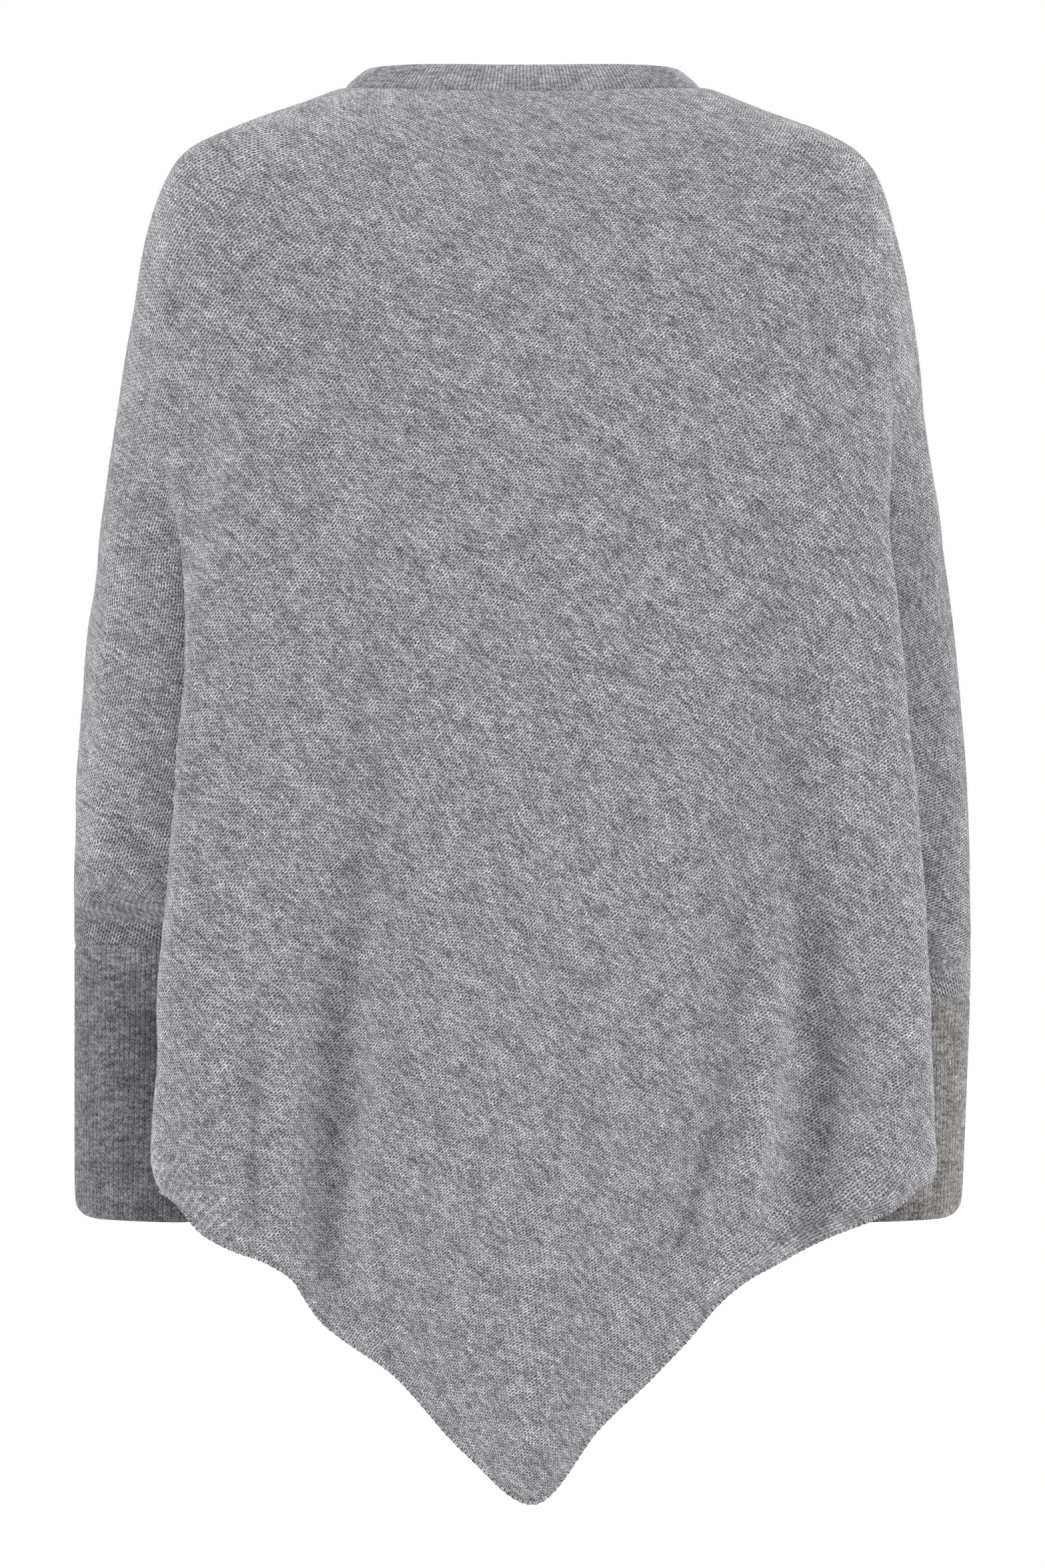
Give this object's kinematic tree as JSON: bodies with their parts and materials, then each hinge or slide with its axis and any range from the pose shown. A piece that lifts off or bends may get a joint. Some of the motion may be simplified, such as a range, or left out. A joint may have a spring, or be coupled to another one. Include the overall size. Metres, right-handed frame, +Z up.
{
  "type": "knitted poncho sweater",
  "caption": "Knitted poncho sweater with batwing sleeves, long rib cuffs, a rib neckband and a pointed hem, hollow and worn.",
  "frame": {"origin": "midway between the neck points of the shoulders, where the wearer's shoulders hold the garment", "axes": "+Z up, +Y the way the wearer faces, +X the side of the wearer's right hand"},
  "size_m": [0.5064, 0.2444, 0.7968],
  "materials": {
    "marl_stockinette": "brushed marl wool stockinette knit, matt, with a soft nap",
    "marl_rib": "fine one-by-one rib in the same marl wool, matt"
  },
  "bodies": {
    "root": {"back_panel": "marl_stockinette", "front_panel": "marl_stockinette", "neckband": "marl_rib", "left_cuff": "marl_rib", "right_cuff": "marl_rib"}
  },
  "joints": []
}
